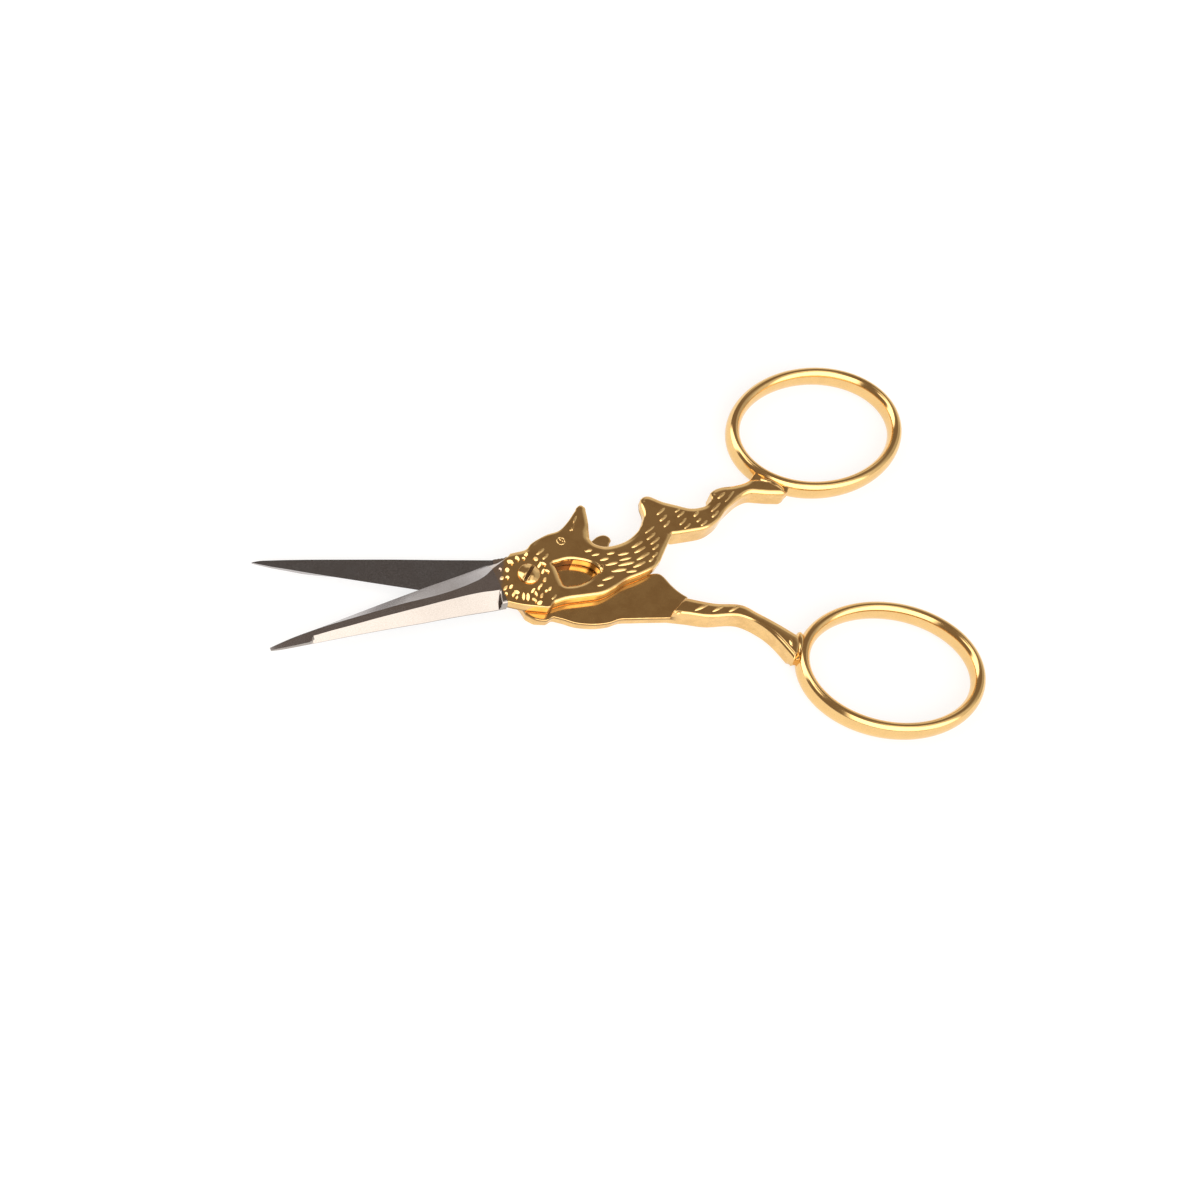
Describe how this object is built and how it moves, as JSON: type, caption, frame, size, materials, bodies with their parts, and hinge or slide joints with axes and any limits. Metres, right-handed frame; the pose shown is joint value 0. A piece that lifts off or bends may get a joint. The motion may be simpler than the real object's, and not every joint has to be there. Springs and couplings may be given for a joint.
{
  "type": "embroidery scissors",
  "caption": "Small embroidery scissors with slender pointed steel blades, oval finger bows and a gold-plated handle shaped as a long-tailed animal, hinged on a slotted screw.",
  "frame": {"origin": "on the pivot axis, in the plane of the underside, at the middle of the screw's flush tail", "axes": "+X from the pivot to the finger bows along the line that halves the opening, +Y to the front half's bow, +Z along the screw towards its slotted head"},
  "size_m": [0.087, 0.0534, 0.0036],
  "materials": {
    "blade_steel": "ground steel: bright facets outside, a fine dull grind on the inner face",
    "gold_plate": "polished gold plating over steel"
  },
  "bodies": {
    "back_half": {"back_blade": "blade_steel", "back_handle": "gold_plate", "back_bow": "gold_plate", "pivot_screw": "gold_plate"},
    "front_half": {"front_blade": "blade_steel", "front_handle": "gold_plate", "front_bow": "gold_plate"}
  },
  "joints": [
    {"name": "pivot", "type": "hinge", "parent": "back_half", "child": "front_half", "pos_m": [0, 0, 0.0015], "axis": [0, 0, 1], "range_deg": [-20.8, 69.1]}
  ]
}
